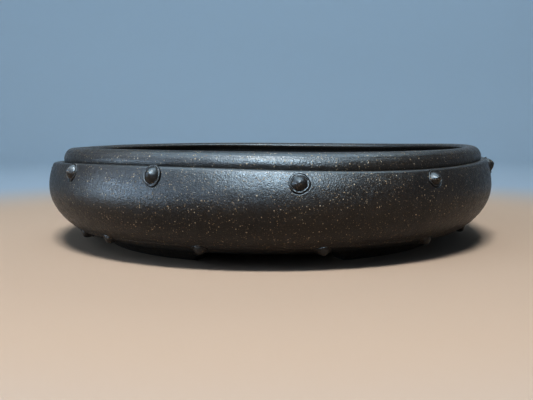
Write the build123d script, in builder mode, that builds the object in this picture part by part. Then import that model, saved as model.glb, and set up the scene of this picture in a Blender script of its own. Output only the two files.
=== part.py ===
"""Round drum-shaped bonsai pot in unglazed stoneware.

The pot stands on the XY plane with its axis on Z, and its front faces -Y. Sizes are in millimetres.
It is modelled as the potter's separate pieces: a belly wall, a floor slab dropped into the wall's
rebate, a rim collar keyed to the wall's top, four keyed feet, and two rows of pressed nails.
"""

from build123d import *
from math import asin, cos, degrees, radians, sin, sqrt
import os

# ---- Driving dimensions ----

# Height levels above the table
foot_height = 6.5
belly_height = 38.0  # where the belly is widest
ledge_height = 53.8  # top of the wall, where the collar sits
pot_height = 62.5

# Belly, outside
belly_radius = 150.5
lower_belly_width = 58.0  # half axes of the ellipse below the widest line
lower_belly_depth = 38.0
upper_belly_curve = 37.6  # radius of the round above the widest line
shoulder_round = 1.5
bottom_edge_height = 10.2  # where the belly turns under
bottom_edge_round = 1.0
underside_radius = 119.5  # where the sloping underside reaches the foot level

# Belly, inside
wall_thickness = 8.0
floor_thickness = 8.0
mouth_radius = 137.0  # the wall's top edge, inside
mouth_edge = 1.5  # height of the plain edge there
floor_cove_round = 4.0

# Incised line above the foot band
line_height = 12.8
line_radius = 0.45

# Rim collar
collar_radius = 143.0
collar_face_radius = 140.1  # where the leaning face turns into the crown
collar_face_height = 60.3
collar_face_bulge = 0.45
collar_crown_radius = 135.5  # where the rim is highest
collar_lip_radius = 130.5
collar_lip_height = 60.2
collar_lip_round = 1.7
collar_base_round = 1.0
tongue_radius = 140.3
tongue_width = 2.6
tongue_depth = 2.4

# Floor slab
slab_radius = 119.0
slab_step_radius = 112.0
slab_step_height = 4.0  # thickness of the wall's rebate lip
drain_count = 4
drain_radius = 10.0
drain_circle_radius = 60.0
drain_edge_round = 1.0
wire_hole_count = 4
wire_hole_radius = 2.5
wire_circle_radius = 78.0
wire_edge_chamfer = 0.5

# Feet
foot_angle = 51.0
foot_inner_radius = 98.0
foot_outer_radius = 112.0
foot_root_radius = 119.5
foot_scallop = 4.5
foot_edge_round = 0.5
key_radius = 105.0
key_width = 4.0
key_depth = 2.5
key_angle = 38.0

# Nails
upper_nail_height = 48.2
upper_flange_radius = 5.1
upper_dome_radius = 3.95
upper_dome_height = 3.4
lower_nail_height = 10.2
lower_flange_radius = 4.7
lower_dome_radius = 3.6
lower_dome_height = 2.9
flange_rim_height = 0.45  # the flange's raised edge, above the belly
flange_rim_width = 0.7
flange_valley_height = 0.1
flange_edge_round = 0.2
seat_depth = 1.0
seat_margin = 0.4  # open line round each flange
shank_radius = 2.4
shank_length = 3.4

# The nails are set by eye, so each sits a little off its even place round the pot, in degrees,
# and off its row, in millimetres. The first is the one right of the front, and they run to the right.
upper_nail_phase = 5.8
upper_nail_shifts = (-0.3, 0.4, 9.5, 5.0, 2.1, 1.1, -0.5, 0.8, -1.0, 0.4, 5.2, 0.3)
upper_nail_lifts = (-0.7, 0.2, 1.6, -0.3, 0.4, -0.6, 0.2, -0.5, 0.6, -0.2, 1.4, 1.5)
lower_nail_phase = 12.8
lower_nail_shifts = (-0.6, -0.8, -3.5, -0.8, 0.6, -0.3, 0.9, -0.6, 0.4, 18.0, 4.0, 0.9)
lower_nail_lifts = (0.0, 0.2, -0.1, 0.2, -0.2, 0.1, 0.0, -0.2, 0.2, 0.1, 1.4, 0.4)

slip_gap = 0.05  # line of slip between two luted faces


# ---- Shared geometry ----

belly_centre = belly_radius - lower_belly_width  # centre of the lower ellipse
shoulder_centre = belly_radius - upper_belly_curve  # centre of the upper round
floor_top = foot_height + floor_thickness
rebate_height = foot_height + slab_step_height
foot_centres = {"front_right": 45, "rear_right": 135, "rear_left": 225, "front_left": 315}


def lower_belly_radius(height):
    """Outside radius of the lower belly at a height."""
    drop = (belly_height - height) / lower_belly_depth
    return belly_centre + lower_belly_width * sqrt(1 - drop**2)


def upper_belly_radius(height):
    """Outside radius of the upper belly at a height."""
    rise = height - belly_height
    return shoulder_centre + sqrt(upper_belly_curve**2 - rise**2)


def radial_plane(angle):
    """Upright plane through the pot's axis, its X pointing outward at an angle right of the front."""
    turn = radians(angle)
    return Plane((0, 0, 0), x_dir=(sin(turn), -cos(turn), 0), z_dir=(-cos(turn), -sin(turn), 0))


def nail_plane(angle, radius, height, outward, upward):
    """Plane touching the belly at an angle, facing along the belly's normal there."""
    turn = radians(angle)
    return Plane(
        origin=(radius * sin(turn), -radius * cos(turn), height),
        x_dir=(cos(turn), sin(turn), 0),
        z_dir=(outward * sin(turn), -outward * cos(turn), upward),
    )


upper_nail_planes = []
for index, (shift, lift) in enumerate(zip(upper_nail_shifts, upper_nail_lifts)):
    angle = upper_nail_phase + shift + index * 360 / len(upper_nail_shifts)
    height = upper_nail_height + lift
    radius = upper_belly_radius(height)
    outward = radius - shoulder_centre
    upper_nail_planes.append(nail_plane(angle, radius, height, outward, height - belly_height))

lower_nail_planes = []
for index, (shift, lift) in enumerate(zip(lower_nail_shifts, lower_nail_lifts)):
    angle = lower_nail_phase + shift + index * 360 / len(lower_nail_shifts)
    height = lower_nail_height + lift
    radius = lower_belly_radius(height)
    outward = (radius - belly_centre) / lower_belly_width**2
    upward = (height - belly_height) / lower_belly_depth**2
    lower_nail_planes.append(nail_plane(angle, radius, height, outward, upward))

# ---- Belly wall ----

bottom_edge_radius = lower_belly_radius(bottom_edge_height)
bottom_edge_drop = degrees(asin((belly_height - bottom_edge_height) / lower_belly_depth))
shoulder_radius = upper_belly_radius(ledge_height)
shoulder_rise = degrees(asin((ledge_height - belly_height) / upper_belly_curve))
inner_width = lower_belly_width - wall_thickness
inner_depth = lower_belly_depth - wall_thickness
inner_drop = asin((belly_height - floor_top) / inner_depth)
cove_radius = belly_centre + inner_width * cos(inner_drop)

with BuildPart() as belly_wall:
    with BuildSketch(Plane.XZ) as wall_profile:
        with BuildLine():
            EllipticalCenterArc(
                (belly_centre, belly_height),
                lower_belly_width,
                lower_belly_depth,
                start_angle=-bottom_edge_drop,
                arc_size=bottom_edge_drop,
            )
            CenterArc((shoulder_centre, belly_height), upper_belly_curve, 0, shoulder_rise)
            Polyline(
                (shoulder_radius, ledge_height),
                (mouth_radius, ledge_height),
                (mouth_radius, ledge_height - mouth_edge),
            )
            TangentArc(
                (belly_radius - wall_thickness, belly_height),
                (mouth_radius, ledge_height - mouth_edge),
                tangent=(0, 1),
            )
            EllipticalCenterArc(
                (belly_centre, belly_height),
                inner_width,
                inner_depth,
                start_angle=-degrees(inner_drop),
                arc_size=degrees(inner_drop),
            )
            Polyline(
                (cove_radius, floor_top),
                (slab_radius, floor_top),
                (slab_radius, rebate_height),
                (slab_step_radius, rebate_height),
                (slab_step_radius, foot_height),
                (underside_radius, foot_height),
                (bottom_edge_radius, bottom_edge_height),
            )
        make_face()
        corners = wall_profile.vertices()
        fillet(corners.sort_by_distance((shoulder_radius, ledge_height))[0], shoulder_round)
        bottom_edge = corners.sort_by_distance((bottom_edge_radius, bottom_edge_height))[0]
        fillet(bottom_edge, bottom_edge_round)
        fillet(corners.sort_by_distance((cove_radius, floor_top))[0], floor_cove_round)
    revolve(axis=Axis.Z)
    # Groove in the top for the collar's tongue, and the incised line above the foot band
    with BuildSketch(Plane.XZ):
        with Locations((tongue_radius, ledge_height)):
            Rectangle(tongue_width + 2 * slip_gap, 2 * (tongue_depth + slip_gap))
        with Locations((lower_belly_radius(line_height), line_height)):
            Circle(line_radius)
    revolve(axis=Axis.Z, mode=Mode.SUBTRACT)
    # Pressed seats for the nails
    socket_radius = shank_radius + slip_gap
    socket_depth = seat_depth + shank_length + slip_gap
    with Locations(upper_nail_planes):
        CounterBoreHole(socket_radius, upper_flange_radius + seat_margin, seat_depth, socket_depth)
    with Locations(lower_nail_planes):
        CounterBoreHole(socket_radius, lower_flange_radius + seat_margin, seat_depth, socket_depth)
belly_wall.part.label = "belly_wall"

# ---- Floor slab ----

with BuildPart() as base_slab:
    with BuildSketch(Plane.XZ):
        with BuildLine():
            Polyline(
                (0, foot_height),
                (slab_step_radius - slip_gap, foot_height),
                (slab_step_radius - slip_gap, rebate_height),
                (slab_radius - slip_gap, rebate_height),
                (slab_radius - slip_gap, floor_top),
                (0, floor_top),
                close=True,
            )
        make_face()
    revolve(axis=Axis.Z)
    with Locations(Plane.XY.offset(floor_top)):
        with PolarLocations(drain_circle_radius, drain_count):
            Hole(drain_radius)
        with PolarLocations(wire_circle_radius, wire_hole_count, start_angle=45):
            Hole(wire_hole_radius)
    rings = base_slab.edges().filter_by(GeomType.CIRCLE)
    fillet(rings.filter_by(lambda ring: ring.radius == drain_radius), drain_edge_round)
    rings = base_slab.edges().filter_by(GeomType.CIRCLE)
    chamfer(rings.filter_by(lambda ring: ring.radius == wire_hole_radius), wire_edge_chamfer)
    # Grooves under the slab for the feet's keys
    groove_angle = key_angle + degrees(2 * slip_gap / key_radius)
    for centre in foot_centres.values():
        with BuildSketch(radial_plane(centre - groove_angle / 2)):
            with Locations((key_radius, foot_height)):
                Rectangle(key_width + 2 * slip_gap, 2 * (key_depth + slip_gap))
        revolve(axis=Axis.Z, revolution_arc=groove_angle, mode=Mode.SUBTRACT)
base_slab.part.label = "base_slab"

# ---- Rim collar ----

lip_underside = collar_lip_height - collar_lip_round
lip_root_radius = collar_lip_radius + collar_lip_round

with BuildPart() as rim_collar:
    with BuildSketch(Plane.XZ) as collar_profile:
        with BuildLine():
            SagittaArc(
                (collar_radius, ledge_height),
                (collar_face_radius, collar_face_height),
                -collar_face_bulge,
            )
            TangentArc(
                (collar_crown_radius, pot_height),
                (collar_face_radius, collar_face_height),
                tangent=(1, 0),
            )
            EllipticalCenterArc(
                (collar_crown_radius, collar_lip_height),
                collar_crown_radius - collar_lip_radius,
                pot_height - collar_lip_height,
                start_angle=90,
                arc_size=90,
            )
            CenterArc((lip_root_radius, collar_lip_height), collar_lip_round, 180, 90)
            EllipticalCenterArc(
                (lip_root_radius, ledge_height),
                mouth_radius - lip_root_radius,
                lip_underside - ledge_height,
                start_angle=0,
                arc_size=90,
            )
            Line((mouth_radius, ledge_height), (collar_radius, ledge_height))
        make_face()
        outer_foot = collar_profile.vertices().sort_by_distance((collar_radius, ledge_height))[0]
        fillet(outer_foot, collar_base_round)
    revolve(axis=Axis.Z)
    with BuildSketch(Plane.XZ):
        with Locations((tongue_radius, ledge_height)):
            Rectangle(tongue_width, 2 * tongue_depth, align=(Align.CENTER, Align.CENTER))
    revolve(axis=Axis.Z)
rim_collar.part.label = "rim_collar"


# ---- Feet ----


def make_foot(centre):
    """One low foot under the slab's edge, centred at an angle right of the front."""
    with BuildPart() as foot:
        with BuildSketch(radial_plane(centre - foot_angle / 2)):
            with BuildLine():
                Polyline(
                    (foot_inner_radius, 0),
                    (foot_outer_radius, 0),
                    (foot_root_radius, foot_height),
                    (foot_inner_radius, foot_height),
                    close=True,
                )
            make_face()
        revolve(axis=Axis.Z, revolution_arc=foot_angle)
        # Hollowed ends, so that the openings between the feet are arched
        for end in (centre - foot_angle / 2, centre + foot_angle / 2):
            with Locations(Plane(radial_plane(end).origin, z_dir=radial_plane(end).x_dir)):
                Cylinder(
                    foot_scallop,
                    foot_root_radius + foot_height,
                    align=(Align.CENTER, Align.CENTER, Align.MIN),
                    mode=Mode.SUBTRACT,
                )
        fillet(foot.faces().sort_by(Axis.Z)[0].edges(), foot_edge_round)
        # Curved key that sits in the slab's groove
        with BuildSketch(radial_plane(centre - key_angle / 2)):
            with Locations((key_radius, foot_height)):
                Rectangle(key_width, key_depth, align=(Align.CENTER, Align.MIN))
        revolve(axis=Axis.Z, revolution_arc=key_angle)
    return foot


feet = {}
for place, centre in foot_centres.items():
    feet[place] = make_foot(centre)
    feet[place].part.label = f"foot_{place}"


# ---- Nails ----


def make_nail(flange_radius, dome_radius, dome_height):
    """One nail: a dome in a flange with a raised edge, on a shank. Its XY plane is the belly's."""
    with BuildPart() as nail:
        with BuildSketch(Plane.XZ) as nail_profile:
            with BuildLine():
                Polyline(
                    (0, dome_height),
                    (0, -seat_depth - shank_length),
                    (shank_radius, -seat_depth - shank_length),
                    (shank_radius, -seat_depth),
                    (flange_radius, -seat_depth),
                    (flange_radius, flange_rim_height),
                    (flange_radius - flange_rim_width, flange_rim_height),
                    (dome_radius, flange_valley_height),
                )
                TangentArc((0, dome_height), (dome_radius, flange_valley_height), tangent=(1, 0))
            make_face()
            corners = nail_profile.vertices()
            rim_edge = corners.sort_by_distance((flange_radius, flange_rim_height))[:2]
            fillet(rim_edge, flange_edge_round)
        revolve(axis=Axis.Z)
    return nail


upper_nail = make_nail(upper_flange_radius, upper_dome_radius, upper_dome_height)
with BuildPart() as upper_nails:
    with Locations(upper_nail_planes):
        add(upper_nail.part)
upper_nails.part.label = "upper_nails"

lower_nail = make_nail(lower_flange_radius, lower_dome_radius, lower_dome_height)
with BuildPart() as lower_nails:
    with Locations(lower_nail_planes):
        add(lower_nail.part)
lower_nails.part.label = "lower_nails"

# ---- Files ----

os.makedirs("parts", exist_ok=True)
pieces = [belly_wall, base_slab, rim_collar, *feet.values(), upper_nails, lower_nails]
for piece in pieces:
    export_step(piece.part, f"parts/{piece.part.label}.step")
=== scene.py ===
"""Looks of the round bonsai pot: hand-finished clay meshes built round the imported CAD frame.

Lengths are in metres and angles in radians, unless a name says otherwise. Angles round the pot are
measured from the front (-Y) and grow to the right (+X), as on the CAD part.
"""

import math
import random

import bmesh
import bpy
import numpy as np
from mathutils import Matrix, Vector


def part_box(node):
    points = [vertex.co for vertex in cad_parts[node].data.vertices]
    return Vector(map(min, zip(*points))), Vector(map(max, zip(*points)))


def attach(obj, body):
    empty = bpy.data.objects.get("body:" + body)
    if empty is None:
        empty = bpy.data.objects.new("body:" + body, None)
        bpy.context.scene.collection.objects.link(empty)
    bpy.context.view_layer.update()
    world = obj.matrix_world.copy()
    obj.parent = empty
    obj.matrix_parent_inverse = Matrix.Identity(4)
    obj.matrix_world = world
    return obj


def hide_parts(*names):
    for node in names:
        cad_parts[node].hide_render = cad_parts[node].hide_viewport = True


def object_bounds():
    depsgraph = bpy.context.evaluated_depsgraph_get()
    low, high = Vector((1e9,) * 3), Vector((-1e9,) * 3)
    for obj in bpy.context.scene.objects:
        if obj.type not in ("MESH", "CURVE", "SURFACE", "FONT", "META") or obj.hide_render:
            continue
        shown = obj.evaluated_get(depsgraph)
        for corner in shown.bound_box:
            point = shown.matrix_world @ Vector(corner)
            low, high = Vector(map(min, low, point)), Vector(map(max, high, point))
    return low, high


MM = 0.001

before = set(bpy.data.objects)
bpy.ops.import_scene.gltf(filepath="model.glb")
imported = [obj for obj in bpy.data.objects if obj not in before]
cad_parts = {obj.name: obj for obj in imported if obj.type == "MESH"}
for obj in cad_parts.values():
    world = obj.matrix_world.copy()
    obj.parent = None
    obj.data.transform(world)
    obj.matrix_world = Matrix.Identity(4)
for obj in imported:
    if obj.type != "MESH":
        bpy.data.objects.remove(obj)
cad_low, cad_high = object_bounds()

# ---- Sizes read from the CAD frame ----

_, wall_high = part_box("belly_wall")
slab_low, slab_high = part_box("base_slab")
BELLY_R = wall_high[0]
LEDGE_Z = wall_high[2]
POT_Z = cad_high[2]
FOOT_Z = slab_low[2]
FLOOR_Z = slab_high[2]
SLAB_R = slab_high[0]
WALL_T = FLOOR_Z - FOOT_Z

# ---- Sizes of the design that no box gives ----

BELLY_Z = 38.0 * MM  # the widest line, and so the half height of the ellipse below it
LOWER_A = 58.0 * MM  # half width of that ellipse
UPPER_R = 37.6 * MM  # round above the widest line
SHOULDER_ROUND = 2.1 * MM  # round of the shoulder, where the belly turns in to the ledge
EDGE_Z = 10.2 * MM  # bottom edge, where the belly turns under
EDGE_ROUND = 0.8 * MM
UNDER_R = 119.5 * MM  # where the sloping underside reaches the slab's level
STEP_R = 112.0 * MM  # where the wall's underside meets the slab's
STEP_Z = FOOT_Z + 4.0 * MM
MOUTH_R = 137.0 * MM
MOUTH_EDGE = 1.5 * MM  # height of the plain edge inside the mouth
COLLAR_R = 143.0 * MM  # root of the collar; its rolled foot and the crease lie just inside
COLLAR_SINK = 0.35 * MM  # how far the collar's foot is luted into the wall
FACE_R = 140.4 * MM  # top of the collar's leaning face
FACE_Z = 60.3 * MM
FACE_BULGE = 0.29 * MM
FACE_FOOT = 2.6 * MM  # height above the ledge where the face starts to roll under
CROWN_R = 135.5 * MM
LIP_R = 130.5 * MM
LIP_Z = 60.2 * MM
LIP_ROUND = 1.7 * MM
COLLAR_SHIFT = 1.5 * MM  # the collar was luted on a little to the right
LINE_Z = 12.8 * MM  # incised line above the foot band
LINE_DEPTH = 0.36 * MM
LINE_WIDTH = 0.22 * MM
LINE_BAND = 1.3 * MM  # the wall's mesh is finer this far above and below the line
RIM_LINE_Z = 59.6 * MM  # faint turned line near the top of the collar's face
RIM_LINE_DEPTH = 0.10 * MM
RIM_LINE_WIDTH = 0.28 * MM
WALL_RIDGE = 0.30 * MM  # throwing ridges inside the wall
WALL_RIDGE_PITCH = 6.5 * MM
RIDGE_FADE = 8 * MM  # height over which they fade towards the floor and the mouth
FLOOR_RIDGE = 0.20 * MM  # finger spiral on the floor
FLOOR_RIDGE_PITCH = 8.5 * MM

DRAIN_HOLES = {"count": 4, "circle": 60.0 * MM, "radius": 10.0 * MM, "round": 1.1 * MM, "turn": 0}
WIRE_HOLES = {"count": 4, "circle": 78.0 * MM, "radius": 2.5 * MM, "round": 0.5 * MM, "turn": 45}

FOOT_ANGLE = math.radians(51)
FOOT_IN, FOOT_OUT, FOOT_ROOT = 98.0 * MM, 112.0 * MM, 119.5 * MM
FOOT_SCALLOP = 4.5 * MM
FOOT_SOFT = 0.9 * MM  # round of a foot's lower edges
FOOT_TIP = FOOT_Z - 1.6 * MM  # height of the underside at a foot's two ends

UPPER_NAIL = {"flange": 5.1 * MM, "dome": 3.95 * MM, "height": 3.4 * MM, "bend": UPPER_R}
LOWER_NAIL = {"flange": 4.7 * MM, "dome": 3.6 * MM, "height": 2.9 * MM, "bend": 2 * LOWER_A}
NAIL_APART = math.radians(8)  # least angle between two nails of a row
SEAT_DEPTH = 1.0 * MM
SEAT_GAP = 0.16 * MM  # mean open line between a nail and its seat
SEAT_GAP_SWING = 0.17 * MM  # how much wider it is on its open side, and narrower on its tight one
SEAT_GAP_LEAST = 0.03 * MM
TIGHT_SIDE = (1.2, 2.6)  # range of the side where a nail touches its seat, from right through up
SEAT_BANK = 0.11 * MM  # clay pushed up round a seat
NAIL_RIM = 0.36 * MM  # height of a flange's raised edge
NAIL_VALLEY = 0.14 * MM  # and of the hollow inside it

WALL_COLUMNS = 600  # vertices round the pot
SLAB_COLUMNS = 320
SHARP_ANGLE = math.radians(38)
BAKE_UV = "OFBake"
CUT_BAND = 0.9  # the bake map's rows above this share belong to holes and nail seats

# ---- Hand finish: small, smooth, repeatable wander of the clay ----

# Waves round the pot: how many, their size in millimetres, and their phase
RIM_WAVES = ((2, 0.20, 2.4), (3, 0.34, 1.8), (5, 0.08, 4.1), (7, 0.04, 1.3))
ROUND_WAVES = ((2, 0.28, 1.9), (3, 0.18, 0.5), (4, 0.12, 3.3), (9, 0.04, 2.2))
LEDGE_WAVES = ((3, 1.15, 1.57), (5, 0.10, 0.4))
LINE_WAVES = ((2, 0.10, 0.2), (3, 0.08, 1.1), (7, 0.05, 2.0), (13, 0.03, 0.4))
LEDGE_BLEND = 6.5 * MM  # height over which the ledge's wander fades
DENT_SIZE = 0.06 * MM
DENT_PITCH = 24.0 * MM


def waves(turn, table):
    """Sum of cosines round a circle, in metres."""
    return sum(size * MM * np.cos(count * turn + phase) for count, size, phase in table)


def hand_finish(points):
    """Moves points as the clay wandered on the wheel: nothing at the feet, most at the rim."""
    points = np.array(points, dtype=float)
    turn = np.arctan2(points[:, 0], -points[:, 1])
    radius = np.hypot(points[:, 0], points[:, 1])
    up = np.clip(points[:, 2] / POT_Z, 0, 1)
    pitch = 2 * math.pi / DENT_PITCH
    dents = np.sin(points[:, 0] * pitch + 1) * np.sin(points[:, 1] * pitch * 1.3 + 2)
    dents = DENT_SIZE * dents * (1 + np.sin(points[:, 2] * pitch * 1.7))
    out = (waves(turn, ROUND_WAVES) + dents) * up * np.clip(radius / BELLY_R, 0, 1)
    points[:, 0] += out * np.sin(turn)
    points[:, 1] -= out * np.cos(turn)
    near_ledge = np.exp(-(((points[:, 2] - LEDGE_Z) / LEDGE_BLEND) ** 2))
    points[:, 2] += waves(turn, RIM_WAVES) * up**2 + waves(turn, LEDGE_WAVES) * near_ledge
    return points


# ---- Profiles: (radius, height) points along curves ----


def ellipse(centre, width, height, start, end, count):
    """Points on an ellipse, between two angles in degrees above the outward direction."""
    turn = np.radians(np.linspace(start, end, count))
    return np.stack([centre[0] + width * np.cos(turn), centre[1] + height * np.sin(turn)], axis=1)


def bend(start, corner, end, count):
    """Points on a curve that rounds a corner."""
    t = np.linspace(0, 1, count)[:, None]
    start, corner, end = np.array(start), np.array(corner), np.array(end)
    return (1 - t) ** 2 * start + 2 * t * (1 - t) * corner + t**2 * end


def bow(start, end, bulge, count):
    """Points on a shallow bow that stands a distance off its chord."""
    t = np.linspace(0, 1, count)[:, None]
    start, end = np.array(start), np.array(end)
    along = (end - start) / np.linalg.norm(end - start)
    return start + t * (end - start) + 4 * t * (1 - t) * bulge * np.array([along[1], -along[0]])


def lower_degrees(height):
    """Angle on the lower belly's ellipse of a height."""
    return math.degrees(math.asin((height - BELLY_Z) / BELLY_Z))


def bottom_edge(count):
    """Points on the round of the bottom edge, and the belly angle where it ends."""
    turn = lower_degrees(EDGE_Z)
    edge_r = BELLY_R - LOWER_A + LOWER_A * math.cos(math.radians(turn))
    slope = np.array([edge_r - UNDER_R, EDGE_Z - FOOT_Z])
    start = np.array([edge_r, EDGE_Z]) - 1.3 * EDGE_ROUND * slope / np.linalg.norm(slope)
    end = ellipse((BELLY_R - LOWER_A, BELLY_Z), LOWER_A, BELLY_Z, turn + 1.6, turn + 1.6, 1)[0]
    return bend(start, (edge_r, EDGE_Z), end, count), turn + 1.6


def hump(count, size):
    """Edge values that rise to a size in the middle of a stretch."""
    return size * np.sin(np.linspace(0, math.pi, count))


OUTSIDE, INSIDE = 0, 1


class Section:
    """Closed profile, anticlockwise, made of stretches with a clay slot and an edge value per point.

    The edge value is above 0 on a rounded edge, which gets a painted highlight, and below 0 in a crease or
    under an edge, which gets painted shade.
    """

    def __init__(self):
        self.points, self.slots, self.edges = [], [], []

    def add(self, points, slot, edge=0.0):
        """Adds a stretch. Its first point is left out where it repeats the last one."""
        points = np.array(points, dtype=float)
        edge = np.broadcast_to(np.asarray(edge, dtype=float), (len(points),))
        if self.points and np.linalg.norm(points[0] - self.points[-1]) < 0.01 * MM:
            points, edge = points[1:], edge[1:]
        self.points.extend(points)
        self.slots.extend([slot] * len(points))
        self.edges.extend(edge)


# ---- Meshes ----


def new_piece(name, points, faces, corner_uvs, slots, edges, materials):
    """Mesh object from plain lists, with its bake map and its edge attribute."""
    mesh = bpy.data.meshes.new(name)
    mesh.from_pydata(np.asarray(points).tolist(), [], faces)
    uv = mesh.uv_layers.new(name=BAKE_UV)
    uv.data.foreach_set("uv", np.asarray(corner_uvs, dtype=np.float32).ravel())
    mesh.polygons.foreach_set("material_index", np.asarray(slots, dtype=np.int32))
    attribute = mesh.attributes.new("edge", "FLOAT", "POINT")
    attribute.data.foreach_set("value", np.asarray(edges, dtype=np.float32))
    for material in materials:
        mesh.materials.append(material)
    mesh.shade_smooth()
    piece = bpy.data.objects.new(name, mesh)
    bpy.context.scene.collection.objects.link(piece)
    return piece


def strip_map(strips):
    """Bake map of a ring: equal strips of its length, one over the other."""

    def place(left, right, low, high, spots):
        strip = np.floor(left * strips + 1e-6)
        across = np.stack([left, right, right, left], axis=-1) * strips - strip[:, None]
        rise = np.broadcast_to(np.array([low, low, high, high]), across.shape)
        u = 0.01 + 0.98 * across
        v = CUT_BAND * (strip[:, None] + 0.03 + 0.94 * rise) / strips
        return np.stack([u, v], axis=-1)

    return place


def plan_map(left, right, low, high, spots):
    """Bake map of a disc: its plan."""
    return 0.5 * CUT_BAND * (1 + spots[:, :, :2] / SLAB_R)


def turned(name, section, columns, bake_map, materials, relief):
    """Ring from a section turned round the axis. Relief lifts the clay along the section's normal."""
    profile = np.array(section.points)
    slots, edges = np.array(section.slots), np.array(section.edges)
    along = np.roll(profile, -1, axis=0) - np.roll(profile, 1, axis=0)
    along /= np.linalg.norm(along, axis=1, keepdims=True)
    turn = np.arange(columns) * 2 * math.pi / columns
    lift = relief(profile[:, :1], profile[:, 1:], turn[None, :], slots[:, None])
    radius = profile[:, :1] + lift * along[:, 1:]
    height = profile[:, 1:] - lift * along[:, :1]
    points = np.stack([radius * np.sin(turn), -radius * np.cos(turn), height], axis=2)
    points = points.reshape(-1, 3)
    column = np.arange(columns)
    after = (column + 1) % columns
    lengths = np.linalg.norm(np.roll(profile, -1, axis=0) - profile, axis=1)
    faces, uvs, face_slots = [], [], []
    for slot in (OUTSIDE, INSIDE):
        own = np.flatnonzero(slots == slot)
        reach = np.concatenate([[0], np.cumsum(lengths[own])])
        reach /= reach[-1]
        for row, low, high in zip(own, reach[:-1], reach[1:]):
            above = (row + 1) % len(profile)
            quads = np.stack([row * columns + column, row * columns + after,
                              above * columns + after, above * columns + column], axis=1)
            faces.extend(quads.tolist())
            uvs.append(bake_map(column / columns, (column + 1) / columns, low, high, points[quads]))
            face_slots.extend([slot] * columns)
    corner_uvs = np.concatenate(uvs)
    return new_piece(name, points, faces, corner_uvs, face_slots, np.repeat(edges, columns), materials)


class Spun:
    """Collects closed round bodies, each in its own cell of the bake map."""

    def __init__(self, cells, band=0.0, rows=1):
        self.cells, self.band, self.rows = cells, band, rows
        self.points, self.faces, self.uvs, self.edges, self.bodies = [], [], [], [], 0

    def cell(self):
        """Centre and half size of the next body's cell."""
        per_row = self.cells // self.rows
        row, column = divmod(self.bodies, per_row)
        tall = (1 - self.band) / self.rows
        centre = np.array([(column + 0.5) / per_row, self.band + (row + 0.5) * tall])
        return centre, np.array([0.47 / per_row, 0.47 * tall])

    def add(self, tip, rings, tail, edges, place):
        """Adds a body. Rings are (radii, heights) arrays, and the tip and tail are its end heights."""
        segments = len(rings[0][0])
        turn = np.arange(segments) * 2 * math.pi / segments
        local = [np.array([[0, 0, tip]])]
        for radii, heights in rings:
            local.append(np.stack([radii * np.cos(turn), radii * np.sin(turn), heights], axis=1))
        local.append(np.array([[0, 0, tail]]))
        first = sum(len(points) for points in self.points)
        self.points.append(place(np.concatenate(local)))
        middles = [(0, tip)] + [(radii.mean(), heights.mean()) for radii, heights in rings]
        steps = [math.dist(here, there) for here, there in zip(middles, middles[1:])]
        reach = np.concatenate([[0], np.cumsum(steps)]) / (sum(steps) * 1.08)
        centre, half = self.cell()

        def uv(share, k):
            angle = 2 * math.pi * k / segments
            return centre + half * share * np.array([math.cos(angle), math.sin(angle)])

        last = first + 1 + len(rings) * segments
        for k in range(segments):
            after = (k + 1) % segments
            self.faces.append((first, first + 1 + k, first + 1 + after))
            self.uvs.extend([uv(0, k), uv(reach[1], k), uv(reach[1], k + 1)])
            for ring in range(len(rings) - 1):
                low = first + 1 + ring * segments
                self.faces.append((low + k, low + segments + k, low + segments + after, low + after))
                inner, outer = reach[ring + 1], reach[ring + 2]
                self.uvs.extend([uv(inner, k), uv(outer, k), uv(outer, k + 1), uv(inner, k + 1)])
            self.faces.append((last - segments + after, last - segments + k, last))
            self.uvs.extend([uv(reach[-1], k + 1), uv(reach[-1], k), uv(1, k + 0.5)])
        self.edges.extend([edges[0]] + [e for e in edges[1:-1] for _ in range(segments)] + [edges[-1]])
        self.bodies += 1

    def piece(self, name, slot, materials):
        """The collected bodies as one mesh object."""
        slots = [slot] * len(self.faces)
        points = np.concatenate(self.points)
        return new_piece(name, points, self.faces, self.uvs, slots, self.edges, materials)


def cut(piece, cutter):
    """Takes a cutter's shape out of a piece."""
    modifier = piece.modifiers.new("cut", "BOOLEAN")
    modifier.operation, modifier.solver, modifier.object = "DIFFERENCE", "EXACT", cutter
    evaluated = piece.evaluated_get(bpy.context.evaluated_depsgraph_get())
    mesh = bpy.data.meshes.new_from_object(evaluated)
    piece.modifiers.clear()
    rough = piece.data
    piece.data = mesh
    bpy.data.meshes.remove(rough)
    bpy.data.objects.remove(cutter)


def finish_piece(piece, node, slot, shift=0.0):
    """Gives a piece its hand finish and its sharp edges, and puts it on the frame for a CAD node."""
    mesh = piece.data
    shaped = bmesh.new()
    shaped.from_mesh(mesh)
    bmesh.ops.remove_doubles(shaped, verts=shaped.verts, dist=0.001 * MM)
    bmesh.ops.recalc_face_normals(shaped, faces=shaped.faces)
    shaped.to_mesh(mesh)
    shaped.free()
    points = np.empty(len(mesh.vertices) * 3)
    mesh.vertices.foreach_get("co", points)
    points = hand_finish(points.reshape(-1, 3))
    points[:, 0] += shift
    mesh.vertices.foreach_set("co", points.ravel())
    mesh.set_sharp_from_angle(angle=SHARP_ANGLE)
    mesh.update()
    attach(piece, "root")
    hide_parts(node)


# ---- Clay ----


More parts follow.
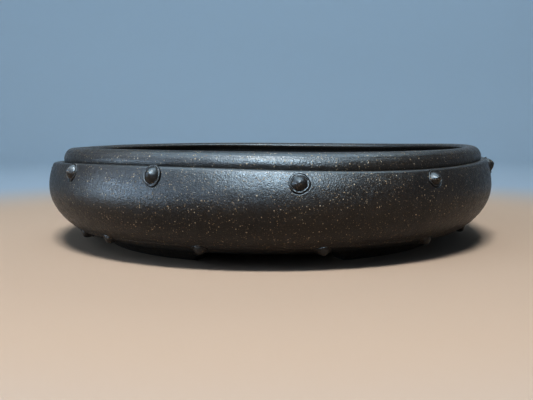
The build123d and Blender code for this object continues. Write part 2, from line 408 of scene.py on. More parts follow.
class Nodes:
    """Short ways to add and join shader nodes."""

    def __init__(self, name):
        self.material = bpy.data.materials.new(name)
        self.material.use_nodes = True
        self.tree = self.material.node_tree
        self.shader = self.tree.nodes["Principled BSDF"]

    def add(self, kind, inputs=None, **settings):
        """Adds a node, sets its properties, and fills or joins its inputs by name or number."""
        node = self.tree.nodes.new(kind)
        for key, value in settings.items():
            setattr(node, key, value)
        for key, value in (inputs or {}).items():
            self.join(value, node.inputs[key])
        return node

    def join(self, value, socket):
        """Joins a socket to another, or gives it a plain value."""
        if isinstance(value, bpy.types.NodeSocket):
            self.tree.links.new(value, socket)
        else:
            socket.default_value = value

    def math(self, operation, a, b=0.0):
        """One arithmetic step, kept between 0 and 1."""
        node = self.add("ShaderNodeMath", {0: a, 1: b}, operation=operation, use_clamp=True)
        return node.outputs[0]

    def vector(self, operation, a, b):
        """One arithmetic step on vectors."""
        return self.add("ShaderNodeVectorMath", {0: a, 1: b}, operation=operation).outputs[0]

    def span(self, value, low, high, to_low=0.0, to_high=1.0):
        """Smoothly turns one range of a value into another."""
        node = self.add("ShaderNodeMapRange", interpolation_type="SMOOTHSTEP")
        for socket, given in zip(node.inputs, (value, low, high, to_low, to_high)):
            self.join(given, socket)
        return node.outputs[0]

    def mix(self, share, a, b):
        """Mixes two colours."""
        node = self.add("ShaderNodeMix", data_type="RGBA")
        self.join(share, node.inputs[0])
        self.join(a, node.inputs[6])
        self.join(b, node.inputs[7])
        return node.outputs[2]

    def noise(self, place, scale, detail=2.0, rough=0.5):
        """Noise with its scale in features per millimetre."""
        inputs = {"Vector": place, "Scale": scale, "Detail": detail, "Roughness": rough}
        return self.add("ShaderNodeTexNoise", inputs).outputs["Fac"]

    def dots(self, place, scale, small, large, share, soft):
        """Round dots in a share of cells, and one random number per cell. Sizes are in cells."""
        cell = self.add("ShaderNodeTexVoronoi", {"Vector": place, "Scale": scale})
        lot = self.add("ShaderNodeSeparateColor", {0: cell.outputs["Color"]})
        reach = self.span(lot.outputs[1], 0.0, 1.0, small, large)
        depth = self.math("SUBTRACT", reach, cell.outputs["Distance"])
        shown = self.math("LESS_THAN", lot.outputs[0], share)
        return self.math("MULTIPLY", self.span(depth, 0.0, soft), shown), lot.outputs[2]


DARK_CLAY = (0.0150, 0.0112, 0.0088, 1)
WARM_CLAY = (0.0330, 0.0225, 0.0140, 1)
ASH_CLAY = (0.0420, 0.0370, 0.0330, 1)
# Colour of the painted shade in pinholes, creases and under edges
CREASE_SHADE_CLAY = (0.0040, 0.0032, 0.0028, 1)
SPECK_TAN = (0.320, 0.225, 0.125, 1)
SPECK_PALE = (0.500, 0.400, 0.270, 1)
SPECK_RUST = (0.120, 0.052, 0.022, 1)


def clay(name, gloss, specks, coarse):
    """Unglazed speckled stoneware. Noise is in millimetres, and so are the heights of its bump."""
    n = Nodes(name)
    place = n.add("ShaderNodeTexCoord").outputs["Object"]
    place = n.vector("MULTIPLY", place, (1 / MM, 1 / MM, 1 / MM))
    wander = n.add("ShaderNodeTexNoise", {"Vector": place, "Scale": 1.3, "Detail": 1.0}).outputs["Color"]
    wander = n.vector("MULTIPLY", n.vector("SUBTRACT", wander, (0.5, 0.5, 0.5)), (0.9, 0.9, 0.9))
    ragged = n.vector("ADD", place, wander)
    edge = n.add("ShaderNodeAttribute", attribute_name="edge").outputs["Fac"]

    # Body colour: kiln clouding, finer mottling, then the grains of the clay itself
    cloud = n.noise(place, 0.014, 3.0, 0.55)
    mottle = n.noise(place, 0.16, 4.0, 0.6)
    grain = n.noise(place, 1.5, 3.0, 0.65)
    colour = n.mix(n.span(cloud, 0.35, 0.68), DARK_CLAY, WARM_CLAY)
    colour = n.mix(n.span(mottle, 0.50, 0.74, 0.0, 0.55), colour, ASH_CLAY)
    colour = n.mix(n.span(grain, 0.50, 0.72, 0.0, 0.90), colour, ASH_CLAY)

    # Sand: dull dust, small tan specks and a few larger ones, of several tints
    dust, _ = n.dots(ragged, 1.9, 0.14, 0.36, specks, 0.12)
    small, small_lot = n.dots(ragged, 0.95, 0.17, 0.36, specks, 0.10)
    large, large_lot = n.dots(ragged, 0.58, 0.15, 0.27, specks * 0.85, 0.06)
    colour = n.mix(n.math("MULTIPLY", dust, 0.36), colour, SPECK_TAN)
    strength = n.span(small_lot, 0.0, 1.0, 0.15, 0.85)
    colour = n.mix(n.math("MULTIPLY", small, strength), colour, SPECK_TAN)
    tint = n.mix(n.span(large_lot, 0.3, 0.9), SPECK_TAN, SPECK_PALE)
    tint = n.mix(n.math("LESS_THAN", large_lot, 0.08), tint, SPECK_RUST)
    colour = n.mix(n.math("MULTIPLY", large, 0.85), colour, tint)
    speck = n.math("MAXIMUM", large, n.math("MULTIPLY", small, 0.6))

    # Painted shade in pinholes and creases, and a painted highlight on rounded edges
    pit, _ = n.dots(ragged, 0.30, 0.06, 0.14, 0.55, 0.05)
    colour = n.mix(pit, colour, CREASE_SHADE_CLAY)
    # Painted highlight: where the edge value is above 0, the clay is lightened
    edge_highlight = n.math("MULTIPLY", n.span(edge, 0.15, 1.0), n.span(mottle, 0.38, 0.62, 0.25, 0.75))
    colour = n.mix(edge_highlight, colour, ASH_CLAY)
    # Painted shade: where the edge value is below 0, the clay is darkened
    crease = n.span(edge, 0.0, -1.0)
    colour = n.mix(n.math("MULTIPLY", crease, 0.8), colour, CREASE_SHADE_CLAY)
    n.join(colour, n.shader.inputs["Base Color"])

    # Sheen: the skin of the clay is smoothed, and its specks and creases are dry
    rough = n.span(n.noise(place, 0.45, 3.0, 0.6), 0.3, 0.7, gloss - 0.05, gloss + 0.10)
    rough = n.math("ADD", rough, n.math("MULTIPLY", speck, 0.22))
    rough = n.math("ADD", rough, n.math("MULTIPLY", crease, 0.3))
    n.join(rough, n.shader.inputs["Roughness"])
    n.join(1.50, n.shader.inputs["IOR"])

    # Relief: fine sand, a soft leathery skin, slow dents, specks standing proud, and pinholes
    height = n.math("MULTIPLY", n.noise(place, 2.4, 2.0, 0.6), 0.085 * coarse)
    height = n.math("ADD", height, n.math("MULTIPLY", n.noise(place, 1.25, 1.0), 0.150 * coarse))
    height = n.math("ADD", height, n.math("MULTIPLY", n.noise(place, 0.12), 0.25))
    height = n.math("ADD", height, n.math("MULTIPLY", speck, 0.035))
    height = n.math("ADD", height, 0.16)
    height = n.math("SUBTRACT", height, n.math("MULTIPLY", pit, 0.16))
    relief = n.add("ShaderNodeBump", {"Strength": 1.0, "Distance": MM, "Height": height})
    n.join(relief.outputs["Normal"], n.shader.inputs["Normal"])
    return n.material


clay_outside = clay("stoneware_outside", gloss=0.33, specks=0.62, coarse=1.0)
clay_inside = clay("stoneware_inside", gloss=0.62, specks=0.50, coarse=1.4)
clay_nails = clay("stoneware_nails", gloss=0.32, specks=0.45, coarse=0.8)
clays = [clay_outside, clay_inside]

# ---- Belly wall ----

BELLY_CENTRE = BELLY_R - LOWER_A
SHOULDER_CENTRE = BELLY_R - UPPER_R
SEAT_Z = LEDGE_Z - COLLAR_SINK


def belly_section():
    """Section of the wall, from the slab's rebate out and up to the collar's seat and back down."""
    section = Section()
    edge_curve, start = bottom_edge(7)
    below, above = lower_degrees(LINE_Z - LINE_BAND), lower_degrees(LINE_Z + LINE_BAND)

    # Underside, bottom edge, and the lower belly with its incised line
    # Painted shade on the underside, the bottom edge and the band of the belly below the incised line
    section.add(np.linspace((STEP_R, FOOT_Z), (UNDER_R, FOOT_Z), 4), OUTSIDE, -0.6)
    section.add(np.linspace((UNDER_R, FOOT_Z), edge_curve[0], 7), OUTSIDE, -0.3)
    section.add(edge_curve, OUTSIDE, -0.5)
    for first, last, count in ((start, below, 4), (below, above, 22), (above, 0, 29)):
        stretch = ellipse((BELLY_CENTRE, BELLY_Z), LOWER_A, BELLY_Z, first, last, count)
        section.add(stretch, OUTSIDE, -0.5 if first == start else 0)

    # Upper belly, round of the shoulder, and the crease that runs in under the collar
    rise = LEDGE_Z - SHOULDER_ROUND - BELLY_Z
    turn = math.degrees(math.asin(rise / (UPPER_R - SHOULDER_ROUND)))
    section.add(ellipse((SHOULDER_CENTRE, BELLY_Z), UPPER_R, UPPER_R, 0, turn, 14), OUTSIDE)
    edge_r = SHOULDER_CENTRE + math.sqrt((UPPER_R - SHOULDER_ROUND) ** 2 - rise**2)
    edge = ellipse((edge_r, BELLY_Z + rise), SHOULDER_ROUND, SHOULDER_ROUND, turn, 90, 9)
    # Painted highlight along the round of the shoulder, then painted shade in the crease under the collar
    section.add(edge, OUTSIDE, hump(len(edge), 0.9))
    crease = bend(edge[-1], (COLLAR_R - 0.3 * MM, LEDGE_Z), (COLLAR_R - 1.0 * MM, SEAT_Z), 7)
    section.add(crease, OUTSIDE, np.linspace(0.4, -0.3, len(crease)))
    section.add(np.linspace(crease[-1], (MOUTH_R, SEAT_Z), 3), INSIDE, -1)

    # Inside: the mouth's plain edge, the belly, and the cove down to the floor
    mouth_z = LEDGE_Z - MOUTH_EDGE
    belly_in = BELLY_R - WALL_T
    # Faint painted highlight on the mouth's edge
    section.add(np.linspace((MOUTH_R, SEAT_Z), (MOUTH_R, mouth_z), 3), INSIDE, 0.3)
    inner_r = ((belly_in - MOUTH_R) ** 2 + (mouth_z - BELLY_Z) ** 2) / (2 * (belly_in - MOUTH_R))
    turn = math.degrees(math.asin((mouth_z - BELLY_Z) / inner_r))
    section.add(ellipse((belly_in - inner_r, BELLY_Z), inner_r, inner_r, turn, 0, 11), INSIDE)
    width, depth = LOWER_A - WALL_T, BELLY_Z - WALL_T
    cove = -math.degrees(math.asin((BELLY_Z - FLOOR_Z) / depth)) + 4
    inner = ellipse((BELLY_CENTRE, BELLY_Z), width, depth, 0, cove, 22)
    section.add(inner, INSIDE)
    floor_edge = (SLAB_R, FLOOR_Z)
    section.add(bend(inner[-1], (SLAB_R + 3.4 * MM, FLOOR_Z), floor_edge, 8), INSIDE)

    # Rebate that the slab drops into, with painted shade
    section.add(np.linspace(floor_edge, (SLAB_R, STEP_Z), 3), INSIDE, -1)
    section.add(np.linspace((SLAB_R, STEP_Z), (STEP_R, STEP_Z), 3), INSIDE, -1)
    section.add(np.linspace((STEP_R, STEP_Z), (STEP_R, FOOT_Z + 0.5 * MM), 3), INSIDE, -1)
    return section


def wall_relief(radius, height, turn, slot):
    """Incised line and its burr outside; throwing ridges inside."""
    line = height - LINE_Z - waves(turn, LINE_WAVES)
    depth = LINE_DEPTH * (1 + 0.25 * np.cos(3 * turn + 1) + 0.12 * np.cos(11 * turn))
    outer = -depth * np.exp(-((line / LINE_WIDTH) ** 2))
    outer += 0.07 * MM * np.exp(-(((line - 0.55 * MM) / LINE_WIDTH) ** 2))
    outer += 0.05 * MM * np.exp(-(((line + 0.50 * MM) / (0.20 * MM)) ** 2))
    spiral = np.sin(2 * math.pi * (height / WALL_RIDGE_PITCH) + turn + 0.6 * np.sin(2 * turn))
    fade = np.clip((height - FLOOR_Z - 1 * MM) / RIDGE_FADE, 0, 1)
    fade = fade * np.clip((LEDGE_Z - 2 * MM - height) / RIDGE_FADE, 0, 1)
    inner = WALL_RIDGE * fade * spiral
    return np.where(slot == OUTSIDE, outer * np.ones_like(inner), inner)


belly_wall = turned("belly_wall_clay", belly_section(), WALL_COLUMNS, strip_map(4), clays, wall_relief)

# ---- Nails and their seats ----

# Outline of the belly, with its points closer than any nail is placed
belly_side = np.concatenate([
    ellipse((BELLY_CENTRE, BELLY_Z), LOWER_A, BELLY_Z, -60, 0, 3001)[:-1],
    ellipse((SHOULDER_CENTRE, BELLY_Z), UPPER_R, UPPER_R, 0, 30, 1501),
])


def nail_frames(node):
    """Origin on the belly, and axes across, up and out, of each nail of a CAD node."""
    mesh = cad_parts[node].data
    points = np.empty(len(mesh.vertices) * 3)
    mesh.vertices.foreach_get("co", points)
    points = np.unique(points.reshape(-1, 3).round(6), axis=0)
    turn = np.arctan2(points[:, 0], -points[:, 1])
    order = np.argsort(turn)
    groups = np.split(points[order], np.flatnonzero(np.diff(turn[order]) > NAIL_APART) + 1)
    frames = []
    for group in groups:
        middle = group.mean(axis=0)
        turn = math.atan2(middle[0], -middle[1])
        spot = np.array([math.hypot(middle[0], middle[1]), middle[2]])
        near = np.argmin(np.linalg.norm(belly_side - spot, axis=1))
        radius, height = belly_side[near]
        along = belly_side[near + 1] - belly_side[near - 1]
        along /= np.linalg.norm(along)
        origin = np.array([radius * math.sin(turn), -radius * math.cos(turn), height])
        across = np.array([math.cos(turn), math.sin(turn), 0])
        outward = np.array([along[1] * math.sin(turn), -along[1] * math.cos(turn), -along[0]])
        frames.append((origin, across, np.cross(outward, across), outward))
    return frames


def on_belly(nail, spec, follow):
    """Function that puts points in a nail's own frame, bent by a share to follow the belly."""
    origin, across, upward, outward = nail

    def place(local):
        drop = follow * (local[:, 1] ** 2 / (2 * spec["bend"]) + local[:, 0] ** 2 / (2 * BELLY_R))
        depth = local[:, 2] - drop
        aside = np.outer(local[:, 0], across) + np.outer(local[:, 1], upward)
        return origin + aside + np.outer(depth, outward)

    return place


def uneven(rng, turn, sizes):
    """Uneven circle: waves of given counts and sizes in millimetres, with phases from a seeded draw."""
    return waves(turn, [(count, size, rng.uniform(0, 2 * math.pi)) for count, size in sizes])


NAIL_SEGMENTS = 48
nail_turn = np.arange(NAIL_SEGMENTS) * 2 * math.pi / NAIL_SEGMENTS
nail_around = np.ones(NAIL_SEGMENTS)


def add_seat(cutters, rng, spec, nail, outline, gap):
    """Cutter of one pressed seat: a flat hole whose lip is softened most where the nail fits loosely."""
    lips = uneven(rng, nail_turn, ((3, 0.08), (5, 0.06), (8, 0.05)))
    loose = np.clip(gap / (0.28 * MM), 0.15, 1.0)
    outline = outline + gap
    # From clear of the belly, down over the softened lip, to the seat's floor
    rings = [
        (outline + lips + 1.3 * MM, 0.36 * MM * nail_around),
        (outline + (lips + 0.50 * MM) * loose, 0.06 * MM * nail_around),
        (outline + (lips * 0.5 + 0.16 * MM) * loose, -0.10 * MM * loose),
        (outline + 0.02 * MM, -0.34 * MM * nail_around),
        (outline - 0.05 * MM, -SEAT_DEPTH * nail_around),
    ]
    # Edge values: painted shade down the seat's walls and floor, a painted highlight on its softened lip
    edges = [-1, 0, 0.3, 0.2, -0.5, -1, -1]
    cutters.add(1.2 * MM, rings, -SEAT_DEPTH, edges, on_belly(nail, spec, 1.0))


def add_nail(nails, rng, spec, nail, outline):
    """One nail: a dome, drawn up to a soft point, in a flange with an uneven raised edge."""
    tall = spec["height"] + rng.uniform(-0.15, 0.15) * MM
    lean, lean_turn = 0.35 * rng.random() * MM, rng.uniform(0, 2 * math.pi)
    rim = NAIL_RIM + uneven(rng, nail_turn, ((1, 0.08), (2, 0.10), (3, 0.08), (5, 0.05), (9, 0.03)))
    base = spec["dome"] * (1 + uneven(rng, nail_turn, ((2, 15.0), (3, 10.0), (5, 6.0))))
    # Edge values: a painted highlight over the dome, strongest at its point
    rings, edges = [], [0.6]
    for share in (0.06, 0.13, 0.21, 0.30, 0.39, 0.48, 0.57, 0.66, 0.74, 0.81, 0.87, 0.92, 0.96, 0.99):
        round_top = math.sqrt(1 - 0.985 * share**2)
        soft_top = 0.45 * round_top + 0.40 * math.cos(share * math.pi / 2) + 0.15 * (1 - share) ** 1.15
        rise = NAIL_VALLEY + (tall - NAIL_VALLEY) * soft_top
        tilt = lean * (1 - share) * np.cos(nail_turn - lean_turn)
        rings.append((base * share + tilt, rise * nail_around))
        edges.append(0.6 - 0.3 * share)

    # Hollow round the dome, raised edge, and down the outside into the seat
    crest = outline - 0.38 * MM
    inside = crest - 0.34 * MM
    hollow = (base + inside) / 2
    rings += [
        (base + 0.08 * MM, NAIL_VALLEY * nail_around + 0.05 * MM),
        (hollow, NAIL_VALLEY * nail_around + 0.02 * MM),
        (inside - 0.10 * MM, rim * 0.60),
        (inside + 0.10 * MM, rim * 0.90),
        (crest, rim),
        (crest + 0.17 * MM, rim * 0.93),
        (outline - 0.07 * MM, rim * 0.62),
        (outline, rim * 0.2),
        (outline + 0.02 * MM, -0.25 * MM * nail_around),
        (outline - 0.10 * MM, -SEAT_DEPTH * nail_around),
    ]
    # Edge values: painted highlight on the hollow and raised edge, painted shade down into the seat
    edges += [0.3, 0.5, 0.8, 1.0, 1.0, 1.0, 1.0, 0.6, -0.3, -1, -1]
    nails.add(tall, rings, -SEAT_DEPTH, edges, on_belly(nail, spec, 0.7))


def soften_round_seats(piece, frames, spec):
    """Makes the wall's mesh finer round each nail, and lifts the clay that the press pushed aside."""
    near, reach = 3.6 * MM, spec["flange"] + 3.0 * MM  # from a nail's middle: where the finer mesh lies
    shaped = bmesh.new()
    shaped.from_mesh(piece.data)
    origins = np.array([nail[0] for nail in frames])
    spots = np.array([face.calc_center_median() for face in shaped.faces])
    away = np.min([np.linalg.norm(spots - origin, axis=1) for origin in origins], axis=0)
    shaped.faces.ensure_lookup_table()
    chosen = set()
    for index in np.flatnonzero((away < reach) & (away > near)):
        chosen.update(shaped.faces[index].edges)
    chosen = sorted(chosen, key=lambda edge: edge.index)
    bmesh.ops.subdivide_edges(shaped, edges=chosen, cuts=1, use_grid_fill=True)
    shaped.verts.ensure_lookup_table()
    spots = np.array([vert.co for vert in shaped.verts])
    for origin, across, upward, outward in frames:
        aside = spots - origin
        ring = np.hypot(aside @ across, aside @ upward) - spec["flange"] - 1.0 * MM
        lift = SEAT_BANK * np.exp(-((ring / (0.6 * MM)) ** 2))
        for index in np.flatnonzero(np.linalg.norm(aside, axis=1) < reach):
            shaped.verts[index].co += Vector(outward * lift[index])
    shaped.to_mesh(piece.data)
    shaped.free()


seat_rng, nail_rng = random.Random(5), random.Random(11)
rows = (("upper_nails", UPPER_NAIL), ("lower_nails", LOWER_NAIL))
all_frames = {node: nail_frames(node) for node, spec in rows}
cutters = Spun(sum(len(frames) for frames in all_frames.values()), band=CUT_BAND)
nail_pieces = {}
for node, spec in rows:
    soften_round_seats(belly_wall, all_frames[node], spec)
    nails = Spun(len(all_frames[node]), rows=3)
    for nail in all_frames[node]:
        sizes = ((2, 0.07), (3, 0.09), (5, 0.07), (7, 0.05), (11, 0.025))
        outline = spec["flange"] + uneven(nail_rng, nail_turn, sizes)
        tight = nail_rng.uniform(*TIGHT_SIDE)
        gap = SEAT_GAP - SEAT_GAP_SWING * np.cos(nail_turn - tight)
        gap += uneven(nail_rng, nail_turn, ((2, 0.06), (4, 0.05), (7, 0.03)))
        add_seat(cutters, seat_rng, spec, nail, outline, np.maximum(gap, SEAT_GAP_LEAST))
        add_nail(nails, nail_rng, spec, nail, outline)
    nail_pieces[node] = nails.piece(node + "_clay", OUTSIDE, [clay_nails])
cut(belly_wall, cutters.piece("seat_cutters", OUTSIDE, clays))

# ---- Floor slab ----


def slab_section():
    """Section of the slab, from the middle of its underside out, up its step and back in."""
    section = Section()
    section.add(np.linspace((0, FOOT_Z), (STEP_R - 0.05 * MM, FOOT_Z), 30), OUTSIDE)
    # Painted shade on the step, where the slab meets the wall
    section.add(np.linspace(section.points[-1], (STEP_R - 0.05 * MM, STEP_Z), 4), OUTSIDE, -1)
    section.add(np.linspace(section.points[-1], (SLAB_R, STEP_Z), 4), INSIDE, -1)
    section.add(np.linspace(section.points[-1], (SLAB_R, FLOOR_Z), 4), INSIDE, -0.5)
    section.add(np.linspace(section.points[-1], (0, FLOOR_Z), 64), INSIDE)
    return section


def slab_relief(radius, height, turn, slot):
    """Finger spiral on the floor, and a hollow line where the slab meets the wall."""
    spiral = np.sin(2 * math.pi * radius / FLOOR_RIDGE_PITCH - turn + 0.4 * np.sin(3 * turn))
    fade = np.clip(radius / (12 * MM), 0, 1) * np.clip((SLAB_R - 3 * MM - radius) / (10 * MM), 0, 1)
    seam = np.exp(-(((SLAB_R - radius) / (1.2 * MM)) ** 2))
    top = FLOOR_RIDGE * fade * spiral - 0.25 * MM * seam
    return np.where(height > FLOOR_Z - 0.01 * MM, top, 0)


HOLE_SEGMENTS = 64
hole_turn = np.arange(HOLE_SEGMENTS) * 2 * math.pi / HOLE_SEGMENTS
hole_around = np.ones(HOLE_SEGMENTS)


def add_hole(cutters, rng, hole, index):
    """Cutter of one hole through the slab, with rounded and slightly uneven edges."""
    angle = math.radians(hole["turn"]) + 2 * math.pi * index / hole["count"]
    centre = np.array([hole["circle"] * math.cos(angle), hole["circle"] * math.sin(angle), 0])
    outline = hole["radius"] + uneven(rng, hole_turn, ((2, 0.12), (3, 0.10), (5, 0.05)))
    round_r = hole["round"]
    rings = [(outline + round_r * 1.6, (FLOOR_Z + 0.6 * round_r) * hole_around)]
    # Edge values: a painted highlight on the rounded edges of the hole
    edges = [0, 0]
    for degrees in range(20, 91, 14):
        turn = math.radians(degrees)
        wider = outline + round_r * (1 - math.sin(turn))
        rings.append((wider, (FLOOR_Z - round_r * (1 - math.cos(turn))) * hole_around))
        edges.append(0.8)
    for share in (0.3, 0.5, 0.7):
        rings.append((outline, (FLOOR_Z - share * WALL_T) * hole_around))
        edges.append(0)
    for degrees in range(90, 19, -14):
        turn = math.radians(degrees)
        wider = outline + round_r * (1 - math.sin(turn))
        rings.append((wider, (FOOT_Z + round_r * (1 - math.cos(turn))) * hole_around))
        edges.append(0.8)
    rings.append((outline + round_r * 1.6, (FOOT_Z - 0.6 * round_r) * hole_around))
    edges += [0, 0]
    cutters.add(FLOOR_Z + round_r, rings, FOOT_Z - round_r, edges, lambda local: local + centre)


base_slab = turned("base_slab_clay", slab_section(), SLAB_COLUMNS, plan_map, clays, slab_relief)
hole_rng = random.Random(3)
hole_cutters = Spun(DRAIN_HOLES["count"] + WIRE_HOLES["count"], band=CUT_BAND)
for hole in (DRAIN_HOLES, WIRE_HOLES):
    for index in range(hole["count"]):
        add_hole(hole_cutters, hole_rng, hole, index)
cut(base_slab, hole_cutters.piece("hole_cutters", INSIDE, clays))

# ---- Rim collar ----


def collar_section():
    """Section of the collar, from its seat up the leaning face, over the crown and under the lip."""
    section = Section()
    foot = (COLLAR_R - 1.2 * MM, SEAT_Z)
    # Painted shade along the seat
    section.add(np.linspace((MOUTH_R, SEAT_Z), foot, 4), INSIDE, -1)
    face_foot = (COLLAR_R - 0.9 * MM, LEDGE_Z + FACE_FOOT)
    roll = bend(foot, (COLLAR_R - 0.73 * MM, LEDGE_Z + 0.9 * MM), face_foot, 13)
    # Painted shade on the roll under the face
    section.add(roll, OUTSIDE, np.linspace(-0.3, 0, len(roll)))
    section.add(bow(face_foot, (FACE_R, FACE_Z), FACE_BULGE, 22), OUTSIDE)
    edge_r = ((FACE_R - CROWN_R) ** 2 + (POT_Z - FACE_Z) ** 2) / (2 * (POT_Z - FACE_Z))
    turn = math.degrees(math.acos((FACE_R - CROWN_R) / edge_r))
    edge = ellipse((CROWN_R, POT_Z - edge_r), edge_r, edge_r, turn, 90, 12)
    # Painted highlight over the face's top edge, the crown and the lip
    section.add(edge, OUTSIDE, hump(len(edge), 0.35))
    crown = ellipse((CROWN_R, LIP_Z), CROWN_R - LIP_R, POT_Z - LIP_Z, 90, 180, 14)
    section.add(crown, OUTSIDE, np.linspace(0.1, 0.6, len(crown)))
    lip = ellipse((LIP_R + LIP_ROUND, LIP_Z), LIP_ROUND, LIP_ROUND, 180, 270, 8)
    section.add(lip, OUTSIDE, np.linspace(0.7, 0, len(lip)))
    root = LIP_R + LIP_ROUND
    under = ellipse((root, LEDGE_Z), MOUTH_R - root, LIP_Z - LIP_ROUND - LEDGE_Z, 90, 0, 9)
    # Painted shade under the lip and down into the seat
    section.add(under, INSIDE, -0.4)
    section.add(np.linspace(under[-1], (MOUTH_R, SEAT_Z + 0.3 * MM), 2), INSIDE, -1)
    return section


def collar_relief(radius, height, turn, slot):
    """Faint turned line near the top of the face, deepest at the front left, and very soft finger ridges."""
    face = (slot == OUTSIDE) & (radius > FACE_R - 1.5 * MM)
    depth = RIM_LINE_DEPTH * (0.55 + 0.45 * np.cos(turn + math.radians(50)))
    line = height - RIM_LINE_Z - waves(turn, LINE_WAVES)
    cut_line = -depth * np.exp(-((line / RIM_LINE_WIDTH) ** 2))
    ridge = 0.012 * MM * np.sin(2 * math.pi * height / (2.3 * MM) + 1.5 * np.sin(turn))
    return np.where(face, cut_line + ridge, 0)


rim_collar = turned("rim_collar_clay", collar_section(), WALL_COLUMNS, strip_map(4), clays, collar_relief)

# ---- Feet ----


def foot_side(lift):
    """A foot's inner and outer radius at a height above the table."""
    return FOOT_IN, FOOT_OUT + (FOOT_ROOT - FOOT_OUT) * lift / FOOT_Z


def foot_loop(lift, bulge):
    """Closed section of a foot whose underside is a height above the table."""
    inner, outer = foot_side(lift)
    root = (FOOT_ROOT, FOOT_Z - 0.25 * MM)
    high = lift + FOOT_SOFT
    loop = [np.linspace((inner + FOOT_SOFT, lift), (outer - FOOT_SOFT, lift), 7)]
    loop.append(bend(loop[-1][-1], (outer, lift), (foot_side(high)[1], high), 6)[1:])
    loop.append(bow(loop[-1][-1], root, bulge, 7)[1:])
    top = FOOT_Z + 0.1 * MM
    loop.append(np.array([(FOOT_ROOT + 0.5 * MM, top), (inner - 0.5 * MM, top)]))
    loop.append(np.linspace((inner, FOOT_Z - 0.3 * MM), (inner, high), 5))
    loop.append(bend((inner, high), (inner, lift), (inner + FOOT_SOFT, lift), 5)[1:-1])
    return np.concatenate(loop)


def make_foot(name, centre_degrees, rng):
    """One low foot, an arc with hollowed ends, thumbed on slightly unevenly."""
    half = FOOT_ANGLE / 2
    scallop = FOOT_SCALLOP / FOOT_OUT
    hollow = np.linspace(0, math.pi / 2, 9)
    ends = np.stack([half - scallop * np.sin(hollow), FOOT_SCALLOP * np.cos(hollow)], axis=1)
    middle = np.stack([np.linspace(half - scallop, 0, 14)[1:], np.zeros(13)], axis=1)
    right = np.concatenate([ends, middle])
    stations = np.concatenate([right * (-1, 1), right[:-1][::-1]])
    phase = rng.uniform(0, 2 * math.pi)
    points = []
    for turn, lift in stations:
        bulge = (0.15 + 0.10 * math.sin(9 * turn + phase)) * MM
        loop = foot_loop(min(lift, FOOT_TIP), bulge)
        angle = math.radians(centre_degrees) + turn
        radius, height = loop[:, 0], loop[:, 1]
        points.append(np.stack([radius * math.sin(angle), -radius * math.cos(angle), height], axis=1))
    count, around_loop = len(points), len(points[0])
    faces, uvs = [], []
    for i in range(count - 1):
        for k in range(around_loop):
            after = (k + 1) % around_loop
            low, high = i * around_loop, (i + 1) * around_loop
            faces.append((low + k, high + k, high + after, low + after))
            left, right_u = 0.02 + 0.9 * i / (count - 1), 0.02 + 0.9 * (i + 1) / (count - 1)
            base, top = 0.02 + 0.96 * k / around_loop, 0.02 + 0.96 * (k + 1) / around_loop
            uvs.extend([(left, base), (right_u, base), (right_u, top), (left, top)])
    for row, first in ((0, 0), (1, (count - 1) * around_loop)):
        cap = [first + k for k in range(around_loop)]
        loop = foot_loop(FOOT_TIP, 0)
        spot = (loop - loop.min(axis=0)) / (FOOT_ROOT - FOOT_IN + 2 * MM)
        flat = [(0.94 + 0.05 * z, 0.02 + 0.48 * row + 0.45 * r) for r, z in spot]
        faces.append(tuple(cap if row == 0 else cap[::-1]))
        uvs.extend(flat if row == 0 else flat[::-1])
    edges = np.zeros(count * around_loop)
    slots = [OUTSIDE] * len(faces)
    return new_piece(name, np.concatenate(points), faces, uvs, slots, edges, [clay_outside])


foot_rng = random.Random(8)
places = {"front_right": 45, "rear_right": 135, "rear_left": 225, "front_left": 315}
feet = {}
for place, centre in places.items():
    feet[f"foot_{place}"] = make_foot(f"foot_{place}_clay", centre, foot_rng)

for node, piece in (("belly_wall", belly_wall), ("base_slab", base_slab), ("rim_collar", rim_collar),
                    *nail_pieces.items(), *feet.items()):
    name = "stoneware_nails" if node in nail_pieces else "stoneware"
    finish_piece(piece, node, name, COLLAR_SHIFT if node == "rim_collar" else 0)

# ---- Floor and backdrop: one bowl, flat under the pot and curved up all round, far away ----

PAPER_WARM = (0.62, 0.50, 0.40, 1)
PAPER_COOL = (0.47, 0.55, 0.62, 1)
PAPER_FADE = (0.25, 0.55)  # metres from the pot between which the paper turns cool
STAGE_FLAT = (0.15, 0.3, 0.6, 0.9, 1.2)  # rings of the flat floor, in metres
STAGE_COVE = 0.7  # radius of the curve up into the wall
STAGE_TOP = 1.6
STAGE_COLUMNS = 96


def plain(name, near_colour, far_colour, near, far):
    """Matt paper whose tint changes with distance from the pot."""
    n = Nodes(name)
    place = n.add("ShaderNodeTexCoord").outputs["Object"]
    away = n.add("ShaderNodeVectorMath", {0: place}, operation="LENGTH").outputs["Value"]
    n.join(n.mix(n.span(away, near, far), near_colour, far_colour), n.shader.inputs["Base Color"])
    n.join(0.9, n.shader.inputs["Roughness"])
    n.join(0.0, n.shader.inputs["Specular IOR Level"])
    return n.material


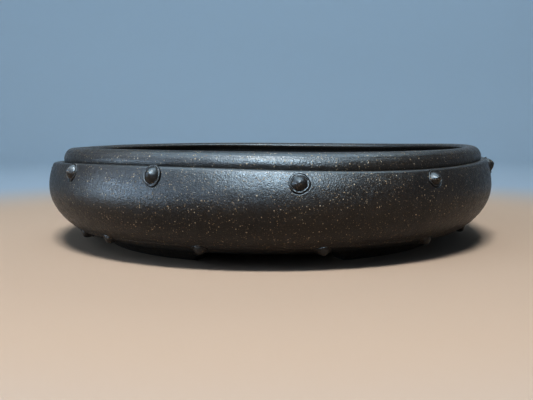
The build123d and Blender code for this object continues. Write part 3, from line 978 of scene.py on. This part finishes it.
def make_stage():
    """Floor disc with a cove that rises to a low wall all round."""
    edge, count = STAGE_FLAT[-1], STAGE_COLUMNS
    flat = [(radius, 0.0) for radius in STAGE_FLAT]
    turns = np.linspace(0.15, math.pi / 2, 10)
    cove = [(edge + STAGE_COVE * math.sin(t), STAGE_COVE * (1 - math.cos(t))) for t in turns]
    rings = flat + cove + [(edge + STAGE_COVE, STAGE_TOP)]
    points, faces = [(0, 0, 0)], []
    for radius, height in rings:
        for k in range(count):
            turn = 2 * math.pi * k / count
            points.append((radius * math.sin(turn), -radius * math.cos(turn), height))
    for k in range(count):
        faces.append((0, 1 + k, 1 + (k + 1) % count))
        for ring in range(len(rings) - 1):
            low = 1 + ring * count
            faces.append((low + k, low + count + k, low + count + (k + 1) % count, low + (k + 1) % count))
    mesh = bpy.data.meshes.new("studio_floor")
    mesh.from_pydata(points, [], faces)
    mesh.shade_smooth()
    mesh.materials.append(plain("studio_paper", PAPER_WARM, PAPER_COOL, *PAPER_FADE))
    stage = bpy.data.objects.new("studio_floor", mesh)
    bpy.context.scene.collection.objects.link(stage)


make_stage()

# ---- Light ----


def soft_light(name, place, target, size, power, colour, lights_floor):
    """Large rectangular lamp that points at a place. One that doesn't light the floor is only a sheen."""
    lamp = bpy.data.lights.new(name, "AREA")
    lamp.shape, lamp.size, lamp.size_y = "RECTANGLE", size[0], size[1]
    lamp.energy, lamp.color = power, colour
    light = bpy.data.objects.new(name, lamp)
    light.location = place
    light.visible_camera, light.visible_diffuse = False, lights_floor
    light.rotation_euler = (Vector(target) - Vector(place)).to_track_quat("-Z", "Y").to_euler()
    bpy.context.scene.collection.objects.link(light)


def around_pot(side_degrees, up_degrees, distance):
    """Place seen from the pot at an angle right of the front, an angle up and a distance."""
    side, up = math.radians(side_degrees), math.radians(up_degrees)
    flat = distance * math.cos(up)
    return flat * math.sin(side), -flat * math.cos(side), POT_Z / 2 + distance * math.sin(up)


pot_middle = (0, 0, POT_Z / 2)
# Name, place as seen from the pot, size, power, colour, and whether it lights the floor. The windows,
# the left wall and the ceiling don't: they are seen only as sheen on the clay.
lamps = (
    ("sky_light", (-4, 55.3, 1.35), (0.40, 0.18), 18.0, (0.98, 0.99, 1.0), True),
    ("left_room", (-55, 32, 1.50), (1.30, 0.80), 5.5, (0.70, 0.84, 1.0), True),
    ("rear_fill", (165, 42, 1.50), (1.00, 0.60), 1.2, (0.90, 0.95, 1.0), True),
    ("front_window", (2, 31.2, 1.35), (0.80, 0.25), 38.0, (0.66, 0.85, 1.0), False),
    ("left_window", (-69, 2.5, 1.35), (0.90, 0.20), 18.0, (0.60, 0.80, 1.0), False),
    ("left_wall", (-78, 36, 1.60), (1.40, 0.90), 12.0, (0.62, 0.80, 1.0), False),
    ("low_window", (-25, 9, 1.35), (0.80, 0.24), 6.0, (0.62, 0.80, 1.0), False),
    ("ceiling", (0, 80, 1.50), (2.60, 2.20), 128.0, (0.61, 0.83, 1.0), False),
)
for name, place, size, power, colour, lights_floor in lamps:
    soft_light(name, around_pot(*place), pot_middle, size, power, colour, lights_floor)
soft_light("backdrop_light", (0, 0.4, 1.3), (0, 1.9, 0.65), (1.6, 0.4), 12.5, (0.82, 0.94, 1.0), True)

world = bpy.data.worlds.new("studio_air")
world.use_nodes = True
air = world.node_tree.nodes["Background"].inputs
air["Color"].default_value = (0.55, 0.75, 1.0, 1)
air["Strength"].default_value = 0.08
bpy.context.scene.world = world
bpy.context.scene.view_settings.view_transform = "Standard"
bpy.context.scene.view_settings.gamma = 0.72  # deep shadows, as a small camera renders them

# ---- Camera ----

CAMERA_PLACE = Vector((0, -0.465, 0.072))
CAMERA_PITCH, CAMERA_YAW, CAMERA_ROLL = math.radians(-5.95), math.radians(0.32), math.radians(-0.16)

lens = bpy.data.cameras.new("camera")
lens.lens, lens.sensor_width = 43.8, 36.0
lens.clip_start = 0.01
camera = bpy.data.objects.new("camera", lens)
turn = Matrix.Rotation(CAMERA_YAW, 4, "Z") @ Matrix.Rotation(math.pi / 2 + CAMERA_PITCH, 4, "X")
camera.matrix_world = Matrix.Translation(CAMERA_PLACE) @ turn @ Matrix.Rotation(CAMERA_ROLL, 4, "Z")
bpy.context.scene.collection.objects.link(camera)
bpy.context.scene.camera = camera
